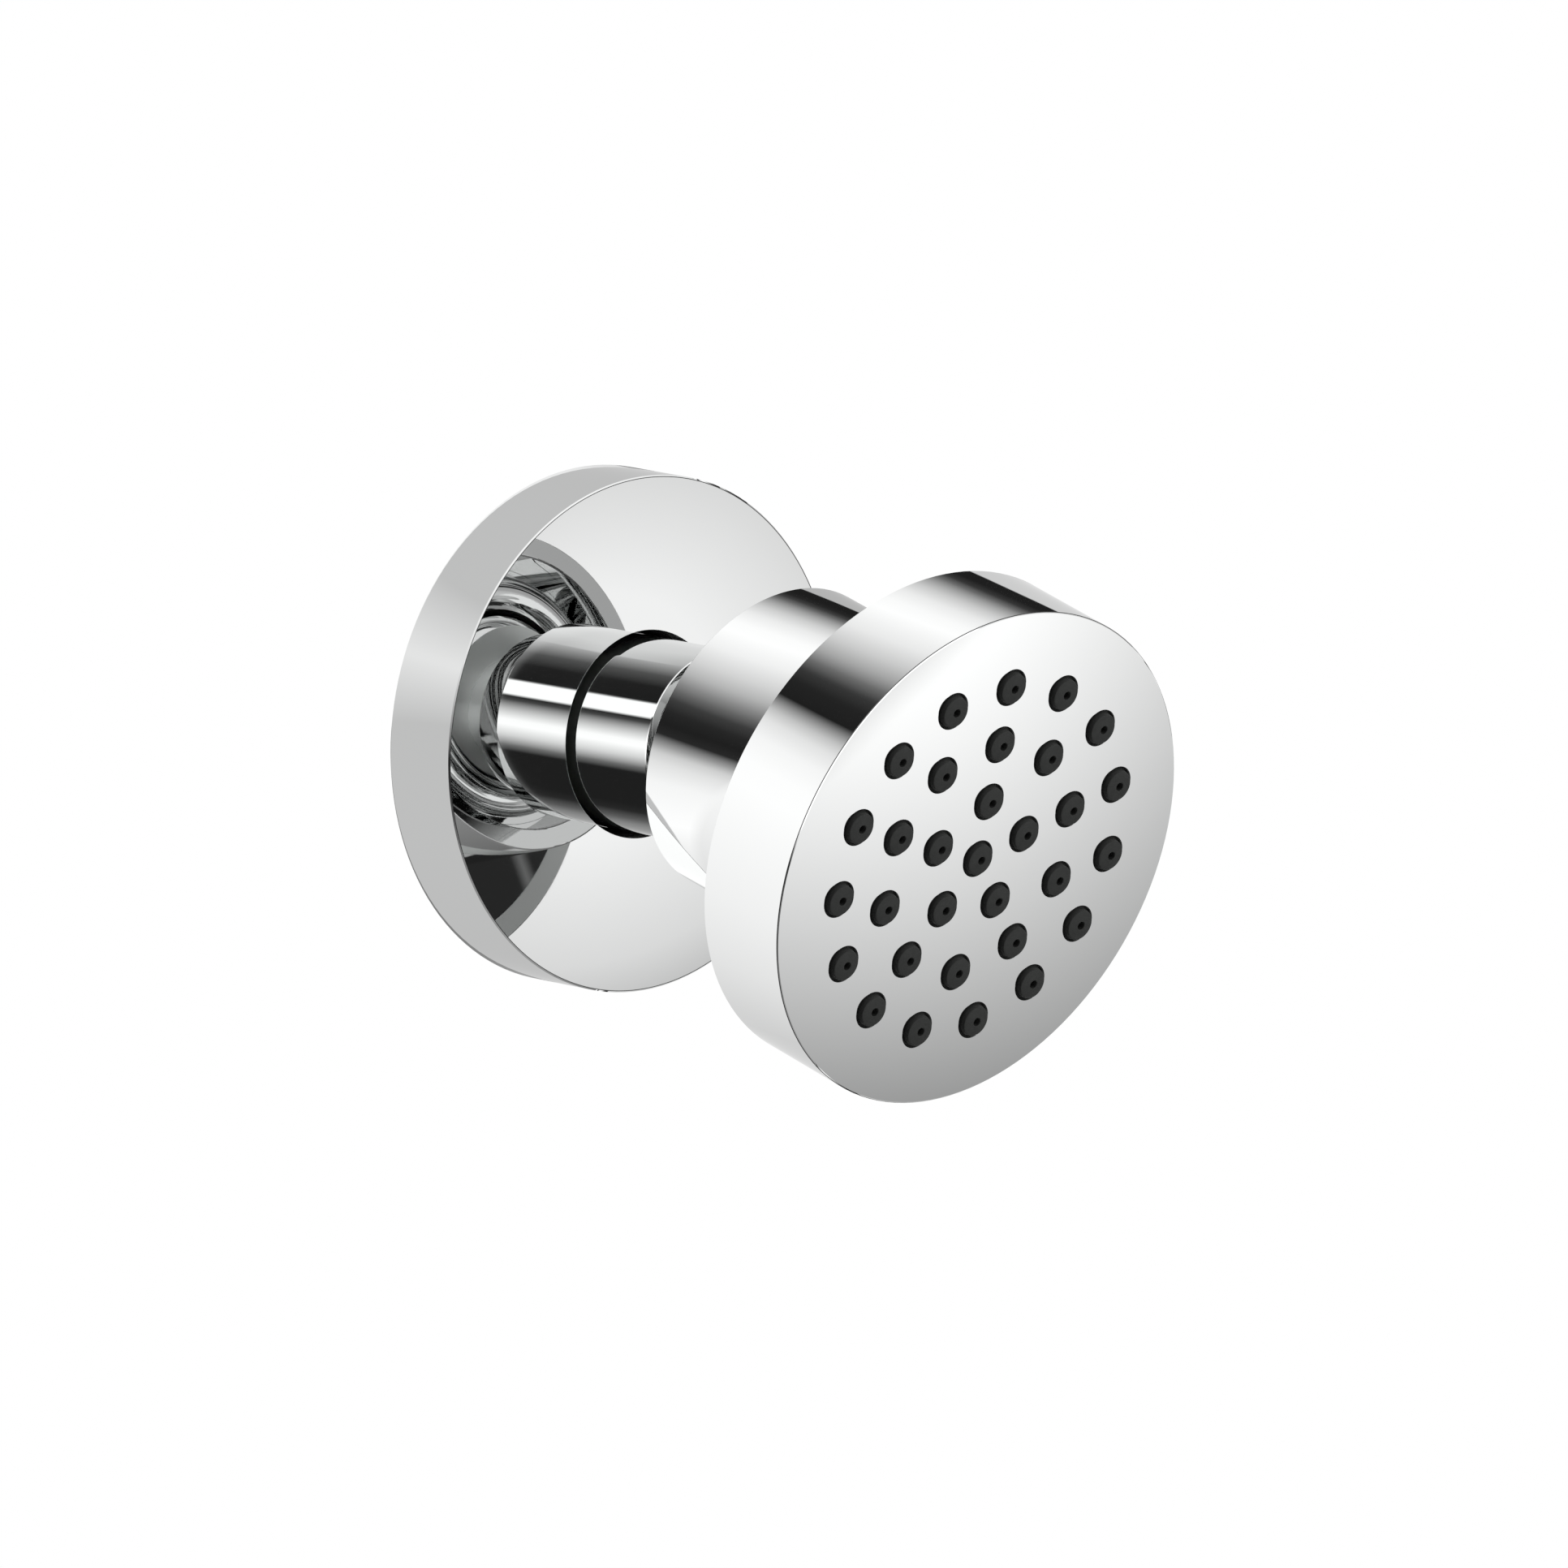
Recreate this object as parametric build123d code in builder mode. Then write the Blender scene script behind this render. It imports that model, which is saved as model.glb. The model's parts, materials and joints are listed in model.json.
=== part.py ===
from build123d import *
import os
from math import atan2, cos, degrees, hypot, radians, sin, sqrt

# A shower body jet: a rosette on the wall, a short neck, and a round spray head on a ball joint.
# Sizes are in millimetres. The origin is the centre of the rosette's back face, on the wall.
# +Z is up, and -Y points out of the wall, the way the head faces.

# Rosette
rosette_d = 60.0
rosette_depth = 10.0
rosette_face = 2.0
rosette_rim = 2.0
rosette_edge = 0.15
rosette_corner = 1.2
hole_gap = 0.8
hub_wall = 3.9
hub_len = 2.9
rosette_ring = 1.9
gasket_width = 2.6
gasket_height = 2.0

# Neck and inlet
neck_d = 22.6
neck_reach = 12.7
neck_edge = 0.1
neck_passage_d = 12.0
thread_d = 20.955
thread_len = 14.0
thread_chamfer = 1.0
relief_depth = 1.2
relief_len = 2.2
shoulder_step = 2.6
inlet_ring = 2.0
flat_across = 20.0
flat_len = 2.4
limiter_d = 15.0
limiter_len = 6.0
limiter_wall = 1.3
limiter_floor = 1.5
limiter_post_d = 4.8
limiter_ring = 1.8
limiter_holes = 8
limiter_hole_d = 1.4
strainer_thick = 0.8
strainer_hole_d = 1.6
strainer_pitch = 2.6
strainer_rings = 2

# Ball stem
collar_d = 18.8
collar_len = 5.3
collar_edge = 0.3
undercut_depth = 0.8
undercut_len = 0.8
seat_step = 0.6
tail_len = 8.0
tail_room = 0.5
tail_ring = 1.5
tail_ring_inset = 1.2
stem_d = 11.8
stem_len = 5.6
stem_passage_d = 8.0
ball_d = 22.6
ball_back = 5.9
ball_nose = 8.5
key_across = 9.0
key_depth = 5.0

# Ball joint, from the ball outwards
slide_gap = 0.1
liner_thick = 0.9
liner_half_angle = 10.0
seat_wall = 0.8
seat_back = 5.4
seat_nose = 5.0
nut_wall = 1.75
nut_nose = 3.5
nut_room = 0.4
lip_gap = 0.5
bead_base = 5.0
bead_radius = 2.3
bead_step = 0.8
bead_guard = 1.5
spring_thick = 0.4
spring_width = 1.2
spring_rise = 0.5
ball_ring = 2.6
ball_ring_angle = 37.0

# Spray head
head_tilt = 15.0
head_d = 60.0
head_depth = 12.6
face_reach = 27.3
face_thick = 2.0
skirt_wall = 2.7
head_edge = 0.15
recess_step = 1.0
stub_rim = 2.5
stub_edge = 0.2
plate_thick = 3.0
rim_width = 2.3
head_passage_d = 18.4
flare_d = 32.0
face_ring = 1.3
distributor_thick = 2.0
feed_d = 2.4
mat_thick = 2.0
nozzle_rings = 3
nozzles_per_ring = 5
nozzle_pitch = 7.0
nozzle_hole_d = 4.3
nozzle_hole_edge = 0.1
nub_rise = 0.7
nub_top_d = 3.7
jet_d = 1.0

# Clearances: between pieces screwed or pressed together, and round a seal in its groove
fit_gap = 0.05
seal_gap = 0.02

# Radii and places that follow from these, as distances out of the wall
neck_r = neck_d / 2
thread_r = thread_d / 2
neck_front = rosette_depth + neck_reach
collar_front = neck_front + collar_len
ball_flat = collar_front + stem_len
ball_out = ball_flat + ball_back

# Radii of the joint's nested shells
ball_r = ball_d / 2
liner_in = ball_r + slide_gap
liner_out = liner_in + liner_thick
seat_in = liner_out + slide_gap
seat_r = seat_in + seat_wall
seat_bore = seat_r + fit_gap
nut_r = seat_bore + nut_wall
thread_bore = nut_r + fit_gap
lip_r = ball_r + lip_gap
bead_r = nut_r - bead_step - bead_radius

# Places along the head's axis, from the ball's centre, positive towards the spray face
lip_under = seat_back + slide_gap
stub_back = bead_base + bead_radius + bead_guard
recess_r = nut_r + recess_step
stub_r = recess_r + stub_rim
spring_shoulder = seat_nose + slide_gap + spring_rise + spring_thick
plate_back = face_reach - head_depth
plate_front = plate_back + plate_thick
mat_front = face_reach - face_thick
mat_back = mat_front - mat_thick
distributor_back = mat_back - distributor_thick
head_r = head_d / 2
skirt_in = head_r - skirt_wall
plate_r = skirt_in - fit_gap

# The wall's axis and profile plane: x is the radius, y the distance out of the wall
wall_axis = Axis((0, 0, 0), (0, -1, 0))
wall_profile = Plane(origin=(0, 0, 0), x_dir=(1, 0, 0), z_dir=(0, 0, -1))

# The head's axis and profile plane: x is the radius, y the distance in front of the ball's centre
ball_centre = Vector(0, -ball_out, 0)
head_dir = Vector(0, -cos(radians(head_tilt)), -sin(radians(head_tilt)))
head_axis = Axis(ball_centre, head_dir)
head_profile = Plane(
    origin=ball_centre,
    x_dir=(1, 0, 0),
    z_dir=(0, sin(radians(head_tilt)), -cos(radians(head_tilt))),
)


def wall_plane(out):
    """A plane that faces out of the wall at this distance, with x to the right and y up."""
    return Plane(origin=(0, -out, 0), x_dir=(1, 0, 0), z_dir=(0, -1, 0))


def head_plane(along):
    """A plane that faces along the head at this distance from the ball, with x right and y up."""
    return Plane(origin=ball_centre + head_dir * along, x_dir=(1, 0, 0), z_dir=head_dir)


def sphere_width(radius, along):
    """The radius of a sphere's slice at this distance from its centre."""
    return sqrt(radius**2 - along**2)


def sphere_arc(radius, start, end, centre=0.0):
    """An arc of a sphere's outline between two places along the axis."""
    first = atan2(start, sphere_width(radius, start))
    last = atan2(end, sphere_width(radius, end))
    spots = []
    for angle in (first, (first + last) / 2, last):
        spots.append((radius * cos(angle), centre + radius * sin(angle)))
    return ThreePointArc(*spots)


def circles_meet(radius, centre, other_radius):
    """Where a circle about the origin meets another one, at the meeting nearer to the axis."""
    apart = hypot(*centre)
    along = (radius**2 - other_radius**2 + apart**2) / (2 * apart)
    across = sqrt(radius**2 - along**2)
    unit_x = centre[0] / apart
    unit_y = centre[1] / apart
    return (along * unit_x + across * unit_y, along * unit_y - across * unit_x)


def nozzle_circles(radius):
    """One circle for each nozzle: a centre and rings of 5, 10 and 15, each with one straight up."""
    for ring in range(nozzle_rings + 1):
        with PolarLocations(ring * nozzle_pitch, max(1, ring * nozzles_per_ring), start_angle=90):
            Circle(radius)


# Rosette: a polished cup, hollow behind, with a grooved hub round the neck
hole_r = neck_r + hole_gap
hub_r = hole_r + hub_wall
rosette_r = rosette_d / 2
rim_in = rosette_r - rosette_rim
face_back = rosette_depth - rosette_face
hub_back = face_back - hub_len
ring_middle = (hub_back + face_back) / 2
ring_groove = neck_r + rosette_ring
ring_back = ring_middle - rosette_ring / 2
ring_front = ring_middle + rosette_ring / 2
with BuildPart() as rosette:
    with BuildSketch(wall_profile):
        with BuildLine():
            Polyline(
                (hole_r, rosette_depth),
                (rosette_r - rosette_edge, rosette_depth),
                (rosette_r, rosette_depth - rosette_edge),
                (rosette_r, 0),
                (rim_in, 0),
                (rim_in, face_back - rosette_corner),
                (rim_in - rosette_corner, face_back),
                (hub_r, face_back),
                (hub_r, hub_back),
                (hole_r, hub_back),
                (hole_r, ring_back),
                (ring_groove, ring_back),
                (ring_groove, ring_front),
                (hole_r, ring_front),
                close=True,
            )
        make_face()
    revolve(axis=wall_axis)

with BuildPart() as rosette_oring:
    with BuildSketch(wall_profile):
        with Locations((neck_r + rosette_ring / 2, ring_middle)):
            Circle(rosette_ring / 2 - seal_gap)
    revolve(axis=wall_axis)

# Gasket: a soft ring inside the cup's rim, level with the rosette's back
with BuildPart() as rosette_gasket:
    with BuildSketch(wall_plane(0)):
        Circle(rim_in)
        Circle(rim_in - gasket_width, mode=Mode.SUBTRACT)
    extrude(amount=gasket_height)

# Neck: pipe thread behind the wall, wrench flats under the rosette, a plain polished neck in front
relief_r = thread_r - relief_depth
relief_back = shoulder_step - relief_len
limiter_r = limiter_d / 2
chamber_r = limiter_r + fit_gap
thread_back = -thread_len
chamber_front = thread_back + strainer_thick + limiter_len
tail_r = collar_d / 2 - undercut_depth - seat_step
socket_r = tail_r + fit_gap
tail_back = neck_front - tail_len
socket_back = tail_back - tail_room
with BuildPart() as neck_body:
    with BuildSketch(wall_profile):
        with BuildLine():
            Polyline(
                (chamber_r, thread_back),
                (thread_r - thread_chamfer, thread_back),
                (thread_r, thread_back + thread_chamfer),
                (thread_r, relief_back),
                (relief_r, relief_back),
                (relief_r, shoulder_step),
                (neck_r, shoulder_step),
                (neck_r, neck_front - neck_edge),
                (neck_r - neck_edge, neck_front),
                (socket_r, neck_front),
                (socket_r, socket_back),
                (neck_passage_d / 2, socket_back),
                (neck_passage_d / 2, chamber_front),
                (chamber_r, chamber_front),
                close=True,
            )
        make_face()
    revolve(axis=wall_axis)
    with BuildSketch(wall_plane(shoulder_step)):
        Circle(neck_r + fit_gap)
        Rectangle(flat_across, neck_d + 1, mode=Mode.SUBTRACT)
    extrude(amount=flat_len, mode=Mode.SUBTRACT)

with BuildPart() as inlet_oring:
    with BuildSketch(wall_profile):
        with Locations((relief_r + inlet_ring / 2, shoulder_step - inlet_ring / 2)):
            Circle(inlet_ring / 2 - seal_gap)
    revolve(axis=wall_axis)

# Strainer: a perforated disc at the mouth of the inlet
with BuildPart() as strainer_screen:
    with BuildSketch(wall_plane(thread_back)):
        Circle(limiter_r)
        for ring in range(strainer_rings + 1):
            with PolarLocations(ring * strainer_pitch, max(1, ring * 6)):
                Circle(strainer_hole_d / 2, mode=Mode.SUBTRACT)
    extrude(amount=strainer_thick)

# Flow limiter: a cup with a post; its ring is squeezed over the floor's holes as pressure rises
limiter_back = thread_back + strainer_thick
post_r = limiter_post_d / 2
with BuildPart() as flow_limiter:
    with BuildSketch(wall_plane(limiter_back)):
        Circle(limiter_r)
    extrude(amount=limiter_len)
    with BuildSketch(wall_plane(limiter_back)):
        Circle(limiter_r - limiter_wall)
        Circle(post_r, mode=Mode.SUBTRACT)
    extrude(amount=limiter_len - limiter_floor, mode=Mode.SUBTRACT)
    with BuildSketch(wall_plane(limiter_back)):
        with PolarLocations(post_r + limiter_ring / 2, limiter_holes):
            Circle(limiter_hole_d / 2)
    extrude(amount=limiter_len, mode=Mode.SUBTRACT)

with BuildPart() as limiter_oring:
    with BuildSketch(wall_profile):
        with Locations((post_r + limiter_ring / 2, chamber_front - limiter_floor - limiter_ring / 2)):
            Circle(limiter_ring / 2 - seal_gap)
    revolve(axis=wall_axis)

# Ball stem: threaded tail with a seal groove, collar, stem and a ball that is cut flat behind
collar_r = collar_d / 2
undercut_r = collar_r - undercut_depth
undercut_front = neck_front + undercut_len
tail_groove = tail_r - tail_ring
tail_ring_back = tail_back + tail_ring_inset
tail_ring_front = tail_ring_back + tail_ring
ball_front = ball_out + ball_nose
stem_passage = stem_passage_d / 2
with BuildPart() as ball_stem:
    with BuildSketch(wall_profile):
        with BuildLine():
            Polyline(
                (sphere_width(ball_r, ball_nose), ball_front),
                (stem_passage, ball_front),
                (stem_passage, tail_back),
                (tail_r, tail_back),
                (tail_r, tail_ring_back),
                (tail_groove, tail_ring_back),
                (tail_groove, tail_ring_front),
                (tail_r, tail_ring_front),
                (tail_r, neck_front),
                (undercut_r, neck_front),
                (undercut_r, undercut_front),
                (collar_r, undercut_front),
                (collar_r, collar_front - collar_edge),
                (collar_r - collar_edge, collar_front),
                (stem_d / 2, collar_front),
                (stem_d / 2, ball_flat),
                (sphere_width(ball_r, ball_back), ball_flat),
            )
            sphere_arc(ball_r, -ball_back, ball_nose, ball_out)
        make_face()
    revolve(axis=wall_axis)
    with BuildSketch(wall_plane(ball_front)):
        RegularPolygon(key_across / 2, 6, major_radius=False)
    extrude(amount=-key_depth, mode=Mode.SUBTRACT)

with BuildPart() as stem_oring:
    with BuildSketch(wall_profile):
        with Locations((socket_r - (socket_r - tail_groove) / 2, tail_ring_back + tail_ring / 2)):
            Circle((socket_r - tail_groove) / 2 - seal_gap - fit_gap)
    revolve(axis=wall_axis)

# Ball liner: a slip band round the ball's equator
band_in = liner_in * sin(radians(liner_half_angle))
band_out = liner_out * sin(radians(liner_half_angle))
with BuildPart() as ball_liner:
    with BuildSketch(wall_profile):
        with BuildLine():
            inner = sphere_arc(liner_in, -band_in, band_in, ball_out)
            outer = sphere_arc(liner_out, -band_out, band_out, ball_out)
            Line(inner @ 0, outer @ 0)
            Line(inner @ 1, outer @ 1)
        make_face()
    revolve(axis=wall_axis)

# Seat: two rings with one round hollow between them, turning inside the nut
with BuildPart() as seat_rear:
    with BuildSketch(head_profile):
        with BuildLine():
            hollow = sphere_arc(seat_in, -seat_back, 0)
            Polyline(hollow @ 1, (seat_r, 0), (seat_r, -seat_back), hollow @ 0)
        make_face()
    revolve(axis=head_axis)

with BuildPart() as seat_front:
    with BuildSketch(head_profile):
        with BuildLine():
            hollow = sphere_arc(seat_in, 0, seat_nose)
            Polyline(hollow @ 1, (seat_r, seat_nose), (seat_r, 0), hollow @ 0)
        make_face()
    revolve(axis=head_axis)

# Disc spring: a coned washer that preloads the seat, so that the head holds its angle
spring_in = seat_r - spring_width
spring_back = seat_nose + slide_gap
with BuildPart() as disc_spring:
    with BuildSketch(head_profile):
        with BuildLine():
            Polyline(
                (spring_in, spring_back),
                (seat_r, spring_back + spring_rise),
                (seat_r, spring_shoulder),
                (spring_in, spring_back + spring_thick),
                close=True,
            )
        make_face()
    revolve(axis=head_axis)

# Ball seal: a soft ring that rests on the front of the ball, in a pocket of the head
ball_ring_r = ball_ring / 2
ball_ring_centre = ball_r + slide_gap + ball_ring_r
ball_ring_out = ball_ring_centre * cos(radians(ball_ring_angle))
ball_ring_along = ball_ring_centre * sin(radians(ball_ring_angle))
with BuildPart() as ball_seal:
    with BuildSketch(head_profile):
        with Locations((ball_ring_out, ball_ring_along)):
            Circle(ball_ring_r)
    revolve(axis=head_axis)

# Retaining nut: screwed into the stub, with a rounded bead round its mouth and a lip over the seat
lip_edge = circles_meet(lip_r, (bead_r, -bead_base), bead_radius)
with BuildPart() as retaining_nut:
    with BuildSketch(head_profile):
        with BuildLine():
            ThreePointArc(
                lip_edge,
                (bead_r, -bead_base - bead_radius),
                (bead_r + bead_radius, -bead_base),
            )
            Polyline(
                (bead_r + bead_radius, -bead_base),
                (nut_r, -bead_base),
                (nut_r, nut_nose),
                (seat_bore, nut_nose),
                (seat_bore, -lip_under),
                (sphere_width(lip_r, lip_under), -lip_under),
            )
            sphere_arc(lip_r, -lip_under, lip_edge[1])
        make_face()
    revolve(axis=head_axis)

# Head back: the stub round the joint and the plate that closes the spray face from behind
pocket_r = ball_ring_out + ball_ring_r + fit_gap
pocket_front = ball_ring_along + ball_ring_r + fit_gap
nut_room_front = nut_nose + nut_room
face_groove = skirt_in - face_ring
groove_middle = (plate_back + distributor_back) / 2
groove_back = groove_middle - face_ring / 2
groove_front = groove_middle + face_ring / 2
rim_in_r = plate_r - rim_width
with BuildPart() as head_back:
    with BuildSketch(head_profile):
        with BuildLine():
            Polyline(
                (recess_r + stub_edge, -stub_back),
                (stub_r - stub_edge, -stub_back),
                (stub_r, -stub_back + stub_edge),
                (stub_r, plate_back),
                (plate_r, plate_back),
                (plate_r, groove_back),
                (face_groove, groove_back),
                (face_groove, groove_front),
                (plate_r, groove_front),
                (plate_r, distributor_back),
                (rim_in_r, distributor_back),
                (rim_in_r, plate_front),
                (flare_d / 2, plate_front),
                (head_passage_d / 2, pocket_front),
                (pocket_r, pocket_front),
                (pocket_r, spring_shoulder),
                (seat_bore, spring_shoulder),
                (seat_bore, nut_room_front),
                (thread_bore, nut_room_front),
                (thread_bore, -bead_base),
                (recess_r, -bead_base),
                (recess_r, -stub_back + stub_edge),
                close=True,
            )
        make_face()
    revolve(axis=head_axis)

with BuildPart() as face_oring:
    with BuildSketch(head_profile):
        with Locations((skirt_in - face_ring / 2, groove_middle)):
            Circle(face_ring / 2 - seal_gap)
    revolve(axis=head_axis)

# Distributor: presses the nozzle mat on the face, with one feed hole for each nozzle
with BuildPart() as distributor_plate:
    with BuildSketch(head_plane(distributor_back)):
        Circle(plate_r)
    extrude(amount=distributor_thick)
    with BuildSketch(head_plane(distributor_back)):
        nozzle_circles(feed_d / 2)
    extrude(amount=distributor_thick, mode=Mode.SUBTRACT)

# Nozzle mat: one soft moulding whose tapered nubs come through the holes of the face
nub_r = nozzle_hole_d / 2 - fit_gap
nub_taper = degrees(atan2(nub_r - nub_top_d / 2, nub_rise))
with BuildPart() as nozzle_mat:
    with BuildSketch(head_plane(mat_back)):
        Circle(plate_r)
    extrude(amount=mat_thick)
    with BuildSketch(head_plane(mat_front)):
        nozzle_circles(nub_r)
    extrude(amount=face_thick)
    with BuildSketch(head_plane(face_reach)):
        nozzle_circles(nub_r)
    extrude(amount=nub_rise, taper=nub_taper)
    with BuildSketch(head_plane(mat_back)):
        nozzle_circles(jet_d / 2)
    extrude(amount=mat_thick + face_thick + nub_rise, mode=Mode.SUBTRACT)

# Spray face: face and skirt are one turned cup, with an eased hole for each nozzle
with BuildPart() as spray_face:
    with BuildSketch(head_profile):
        with BuildLine():
            Polyline(
                (0, face_reach),
                (head_r - head_edge, face_reach),
                (head_r, face_reach - head_edge),
                (head_r, plate_back + head_edge),
                (head_r - head_edge, plate_back),
                (skirt_in, plate_back),
                (skirt_in, mat_front),
                (0, mat_front),
                close=True,
            )
        make_face()
    revolve(axis=head_axis)
    with BuildSketch(head_plane(mat_front)):
        nozzle_circles(nozzle_hole_d / 2)
    extrude(amount=face_thick, mode=Mode.SUBTRACT)
    face_front = spray_face.faces().sort_by(head_axis)[-1]
    chamfer(face_front.inner_wires().edges(), nozzle_hole_edge)

pieces = {
    "rosette": rosette,
    "rosette_gasket": rosette_gasket,
    "rosette_oring": rosette_oring,
    "neck_body": neck_body,
    "inlet_oring": inlet_oring,
    "strainer_screen": strainer_screen,
    "flow_limiter": flow_limiter,
    "limiter_oring": limiter_oring,
    "ball_stem": ball_stem,
    "stem_oring": stem_oring,
    "ball_liner": ball_liner,
    "seat_rear": seat_rear,
    "seat_front": seat_front,
    "disc_spring": disc_spring,
    "ball_seal": ball_seal,
    "retaining_nut": retaining_nut,
    "head_back": head_back,
    "face_oring": face_oring,
    "distributor_plate": distributor_plate,
    "nozzle_mat": nozzle_mat,
    "spray_face": spray_face,
}
os.makedirs("parts", exist_ok=True)
for name, piece in pieces.items():
    piece.part.label = name
    export_step(piece.part, f"parts/{name}.step")
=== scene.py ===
# %% [markdown]
# A shower body jet: a round rosette lies on the tiles, a short neck stands out of it, and a ball joint
# on the neck carries a round spray head with soft nozzles. Nearly all of it is mirror-polished chrome.
# The imported model is loaded first and never changed.

import json
import math

import bmesh
import bpy
from mathutils import Matrix, Vector


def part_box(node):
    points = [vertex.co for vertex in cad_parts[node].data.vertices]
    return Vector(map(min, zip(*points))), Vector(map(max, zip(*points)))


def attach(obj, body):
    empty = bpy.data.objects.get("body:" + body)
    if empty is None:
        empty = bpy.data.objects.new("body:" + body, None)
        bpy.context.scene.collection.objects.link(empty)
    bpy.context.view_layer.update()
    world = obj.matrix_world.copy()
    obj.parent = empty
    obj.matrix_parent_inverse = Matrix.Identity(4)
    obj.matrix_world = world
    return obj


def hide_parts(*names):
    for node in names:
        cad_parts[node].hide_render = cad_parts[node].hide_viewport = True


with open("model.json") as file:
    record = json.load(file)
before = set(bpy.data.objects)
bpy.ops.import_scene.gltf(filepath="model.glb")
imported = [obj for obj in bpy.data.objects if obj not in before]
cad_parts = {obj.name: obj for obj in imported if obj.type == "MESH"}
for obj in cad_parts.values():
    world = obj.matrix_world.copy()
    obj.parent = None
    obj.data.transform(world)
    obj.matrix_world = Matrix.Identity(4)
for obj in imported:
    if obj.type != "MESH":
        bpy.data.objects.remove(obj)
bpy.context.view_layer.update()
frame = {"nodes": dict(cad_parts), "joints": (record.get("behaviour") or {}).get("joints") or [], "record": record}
nodes = frame["nodes"]
mm = 0.001


def in_mm(lengths):
    return [round(length / mm, 2) for length in lengths]


# %% [markdown]
# The sizes that the scene needs are read from the frame, so the scene follows the solids. The wall is
# the plane y = 0 and the neck points along -Y. The head hangs on the ball's centre, and its own axis is
# the axis of the joint that lets it spin.

# %% Read the main sizes
spin = next(joint for joint in frame["joints"] if joint["name"] == "head_spin")
ball_centre = Vector(spin["pos_m"])
head_axis = Vector(spin["axis"]).normalized()
wall_centre = Vector((0, 0, 0))
wall_axis = Vector((0, -1, 0))
rosette_low, rosette_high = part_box("rosette")
rosette_r = (rosette_high[0] - rosette_low[0]) / 2
rosette_depth = -rosette_low[1]
print("rosette radius and depth in mm:", in_mm((rosette_r, rosette_depth)))
print("ball centre in mm:", in_mm(ball_centre), "head axis:", [round(v, 3) for v in head_axis])

# %% [markdown]
# The photograph was taken from the left and a little above, with a long lens from about two metres, so
# the circles hardly shrink with distance. The camera is set from that viewpoint: a bearing round the
# object, a height angle, a distance, and the point of the rosette's front that it is measured from.

# %% Place the camera
bearing = math.radians(-42.88)
height_angle = math.radians(10.15)
camera_distance = 2148.7 * mm
picture_offset = Vector((16.16, -5.74)) * mm
lens_mm = 429.2
sensor_mm = 36.0

to_camera = Vector((
    math.sin(bearing) * math.cos(height_angle),
    -math.cos(bearing) * math.cos(height_angle),
    math.sin(height_angle),
))
picture_right = Vector((math.cos(bearing), math.sin(bearing), 0))
picture_up = to_camera.cross(picture_right)
aim = rosette_depth * wall_axis + picture_offset.x * picture_right + picture_offset.y * picture_up

lens = bpy.data.cameras.new("photo_camera")
lens.lens = lens_mm
lens.sensor_width = sensor_mm
lens.clip_end = 50.0
camera = bpy.data.objects.new("photo_camera", lens)
bpy.context.collection.objects.link(camera)
camera_turn = Matrix((picture_right, picture_up, to_camera)).transposed().to_4x4()
camera.matrix_world = Matrix.Translation(aim + camera_distance * to_camera) @ camera_turn
bpy.context.scene.camera = camera
bpy.context.scene.view_settings.view_transform = "Standard"
print("camera at", in_mm(camera.location))

# %% [markdown]
# Every finish here is a small node tree. Trees could be built one link at a time, but that takes a page
# for each finish, so helpers do what repeats. The first adds a node and fills its inputs from numbers or
# from other nodes' outputs. The other two start a material with an empty tree and end it with its output.

# %% Helpers for node trees
def add_node(tree, kind, inputs=(), **settings):
    made = tree.nodes.new(kind)
    for name, value in settings.items():
        setattr(made, name, value)
    for key, value in dict(inputs).items():
        if isinstance(value, bpy.types.NodeSocket):
            tree.links.new(value, made.inputs[key])
        else:
            made.inputs[key].default_value = value
    return made


def new_finish(name):
    finish = bpy.data.materials.new(name)
    finish.use_nodes = True
    finish.node_tree.nodes.clear()
    return finish, finish.node_tree


def end_finish(tree, shader):
    add_node(tree, "ShaderNodeOutputMaterial", {"Surface": shader.outputs[0]})


print("tree helpers:", add_node.__name__, new_finish.__name__, end_finish.__name__)

# %% [markdown]
# Most finishes need the same few steps: the place of a point on its piece, some arithmetic, a noise, a
# mix, a change of range and a bump. The place is read in the piece's own coordinates, so a pattern moves
# with the piece and nothing has to be unwrapped.

# %% Steps that the finishes share
def place_on_piece(tree):
    return add_node(tree, "ShaderNodeTexCoord").outputs["Object"]


def calculate(tree, operation, first, second=0.0):
    return add_node(tree, "ShaderNodeMath", {0: first, 1: second}, operation=operation).outputs[0]


def noise(tree, place, scale, detail):
    speckle = add_node(tree, "ShaderNodeTexNoise", {"Vector": place, "Scale": scale, "Detail": detail})
    return speckle.outputs["Fac"]


def mix_values(tree, share, first, second, kind="FLOAT"):
    mixed = add_node(tree, "ShaderNodeMix", {"Factor": share, "A": first, "B": second}, data_type=kind)
    return mixed.outputs["Result"]


def mix_colours(tree, share, first, second):
    return mix_values(tree, share, first, second, kind="RGBA")


def to_range(tree, value, low, high, start=0.0, end=1.0):
    return add_node(tree, "ShaderNodeMapRange", {
        "Value": value, "From Min": start, "From Max": end, "To Min": low, "To Max": high,
    }).outputs["Result"]


def bump_from(tree, height, strength, distance):
    bump = add_node(tree, "ShaderNodeBump", {"Height": height, "Strength": strength, "Distance": distance})
    return bump.outputs["Normal"]


print("steps: place, arithmetic, noise, mix, range, bump")
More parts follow.
